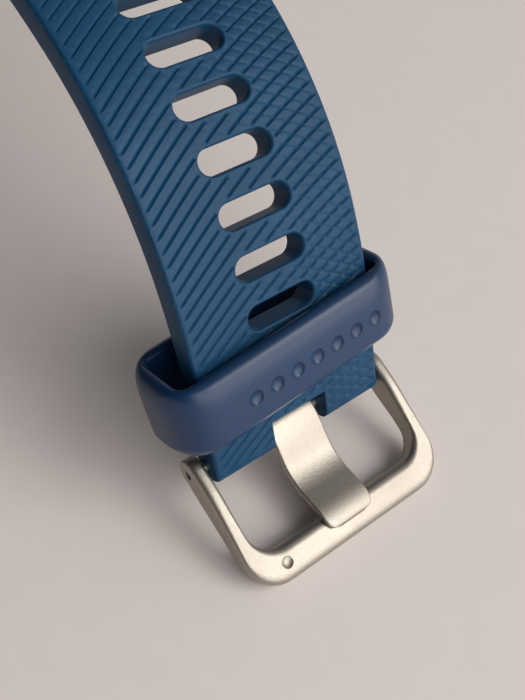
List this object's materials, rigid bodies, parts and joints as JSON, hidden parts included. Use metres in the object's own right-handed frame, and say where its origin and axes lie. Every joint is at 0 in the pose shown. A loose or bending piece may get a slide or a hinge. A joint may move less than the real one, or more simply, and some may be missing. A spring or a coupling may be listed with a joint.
{
  "type": "golf gps watch",
  "caption": "Round golf watch on a slotted moulded rubber strap with a sliding keeper and a pin buckle, standing open as an arch.",
  "frame": {"origin": "centre of the case back's outer face", "axes": "+Z out through the display, +X across the strap, -Y towards the buckle half of the strap, +Y towards the tail half"},
  "size_m": [0.043, 0.2125, 0.0496],
  "materials": {
    "case_polymer": "fine satin texture",
    "bezel_metal": "brushed dark grey with a polished chamfer",
    "lens_glass": "polished",
    "seal_rubber": "matt black",
    "display_black": "dark, slightly glossy",
    "chassis_metal": "stamped",
    "board": "solder mask",
    "shield_metal": "tinned",
    "antenna_ceramic": "matt ceramic",
    "battery_foil": "foil pouch",
    "cradle_plastic": "moulded",
    "beeper_brass": "plain",
    "screw_steel": "plain",
    "contact_gold": "gold plated",
    "button_metal": "turned",
    "strap_rubber": "moulded with fine crossing ribs",
    "keeper_rubber": "smooth satin",
    "buckle_steel": "bead blasted",
    "bar_steel": "drawn wire and tube"
  },
  "bodies": {
    "case": {"case_shell": "case_polymer", "bezel": "bezel_metal", "lens": "lens_glass", "lens_seal": "seal_rubber", "display_panel": "display_black", "display_chassis": "chassis_metal", "main_board": "board", "shield_cans": "shield_metal", "gps_antenna": "antenna_ceramic", "tact_switches": "shield_metal", "battery": "battery_foil", "battery_cradle": "cradle_plastic", "vibration_motor": "shield_metal", "beeper": "beeper_brass", "back_cover": "case_polymer", "back_seal": "seal_rubber", "back_screws": "screw_steel", "charge_pads": "contact_gold", "button_seals": "seal_rubber"},
    "select_button": {"button_select": "button_metal", "select_clip": "screw_steel"},
    "back_button": {"button_back": "button_metal", "back_clip": "screw_steel"},
    "light_button": {"button_light": "button_metal", "light_clip": "screw_steel"},
    "scroll_button": {"button_scroll": "button_metal", "scroll_clip": "screw_steel"},
    "buckle_half": {"buckle_strap": "strap_rubber", "front_bar_tube": "bar_steel", "front_bar_spring": "bar_steel", "front_fixed_pin": "bar_steel"},
    "front_release": {"front_release_pin": "bar_steel"},
    "tail_half": {"tail_strap": "strap_rubber", "rear_bar_tube": "bar_steel", "rear_bar_spring": "bar_steel", "rear_fixed_pin": "bar_steel"},
    "rear_release": {"rear_release_pin": "bar_steel"},
    "keeper_loop": {"keeper": "keeper_rubber"},
    "buckle": {"buckle_frame": "buckle_steel", "buckle_bar_tube": "bar_steel", "buckle_bar_pins": "bar_steel", "buckle_bar_spring": "bar_steel"},
    "tongue": {"buckle_tongue": "buckle_steel"}
  },
  "joints": [
    {"name": "select_press", "type": "slide", "parent": "case", "child": "select_button", "axis": [-0.8192, -0.5736, 0], "range_m": [0, 0.0008], "stiffness_N_per_m": 400},
    {"name": "back_press", "type": "slide", "parent": "case", "child": "back_button", "axis": [-0.8192, 0.5736, 0], "range_m": [0, 0.0008], "stiffness_N_per_m": 400},
    {"name": "light_press", "type": "slide", "parent": "case", "child": "light_button", "axis": [0.8192, -0.5736, 0], "range_m": [0, 0.0008], "stiffness_N_per_m": 400},
    {"name": "scroll_press", "type": "slide", "parent": "case", "child": "scroll_button", "axis": [0.8192, 0.5736, 0], "range_m": [0, 0.0008], "stiffness_N_per_m": 400},
    {"name": "buckle_half_swing", "type": "hinge", "parent": "case", "child": "buckle_half", "pos_m": [0, -0.0242, 0.0034], "axis": [1, 0, 0], "range_deg": [0, 60]},
    {"name": "tail_half_swing", "type": "hinge", "parent": "case", "child": "tail_half", "pos_m": [0, 0.0242, 0.0034], "axis": [-1, 0, 0], "range_deg": [0, 60]},
    {"name": "front_release_pull", "type": "slide", "parent": "buckle_half", "child": "front_release", "axis": [-1, 0, 0], "range_m": [0, 0.0015], "stiffness_N_per_m": 300, "deforming": ["front_bar_spring"]},
    {"name": "rear_release_pull", "type": "slide", "parent": "tail_half", "child": "rear_release", "axis": [-1, 0, 0], "range_m": [0, 0.0015], "stiffness_N_per_m": 300, "deforming": ["rear_bar_spring"]},
    {"name": "keeper_slide", "type": "slide", "parent": "buckle_half", "child": "keeper_loop", "axis": [0, 0.4384, 0.8988], "range_m": [-0.0015, 0.003]},
    {"name": "buckle_turn", "type": "hinge", "parent": "buckle_half", "child": "buckle", "pos_m": [0, -0.07144, -0.03164], "axis": [1, 0, 0], "range_deg": [-20, 95]},
    {"name": "tongue_lift", "type": "hinge", "parent": "buckle", "child": "tongue", "pos_m": [0, -0.07144, -0.03164], "axis": [-1, 0, 0], "range_deg": [0, 45]}
  ]
}
